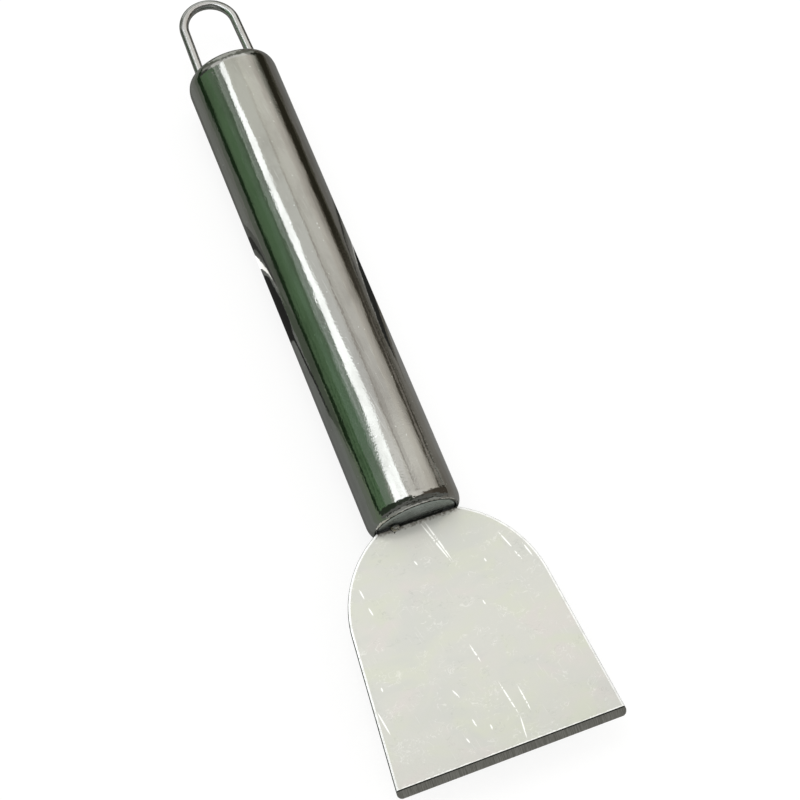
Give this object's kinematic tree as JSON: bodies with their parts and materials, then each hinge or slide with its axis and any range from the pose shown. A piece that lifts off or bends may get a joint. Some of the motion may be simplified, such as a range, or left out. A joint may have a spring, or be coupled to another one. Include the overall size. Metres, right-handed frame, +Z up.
{
  "type": "steel scraper",
  "caption": "Stainless steel scraper: a flat flared blade with a ground bevel, a polished round tube handle with crimped end caps and a wire hanging loop.",
  "frame": {"origin": "on the surface that the handle lies on, below the middle of the scraper's overall box", "axes": "+Y along the handle from the blade to the hanging loop, +Z up, square to the level blade and out of its bevelled front, +X across the blade"},
  "size_m": [0.0602, 0.2282, 0.025],
  "materials": {
    "polished_tube": "mirror polished stainless steel",
    "cap_steel": "pressed stainless steel, lightly polished",
    "bright_wire": "bright drawn stainless wire",
    "blade_sheet": "pale mill finish with fine scratches, ground bevel",
    "weld_metal": "unpolished weld"
  },
  "bodies": {
    "root": {"handle_tube": "polished_tube", "blade_end_cap": "cap_steel", "loop_end_cap": "cap_steel", "hanging_loop": "bright_wire", "blade": "blade_sheet", "tack_weld": "weld_metal", "tang_weld_front": "weld_metal", "tang_weld_back": "weld_metal", "loop_weld_left": "weld_metal", "loop_weld_right": "weld_metal"}
  },
  "joints": []
}
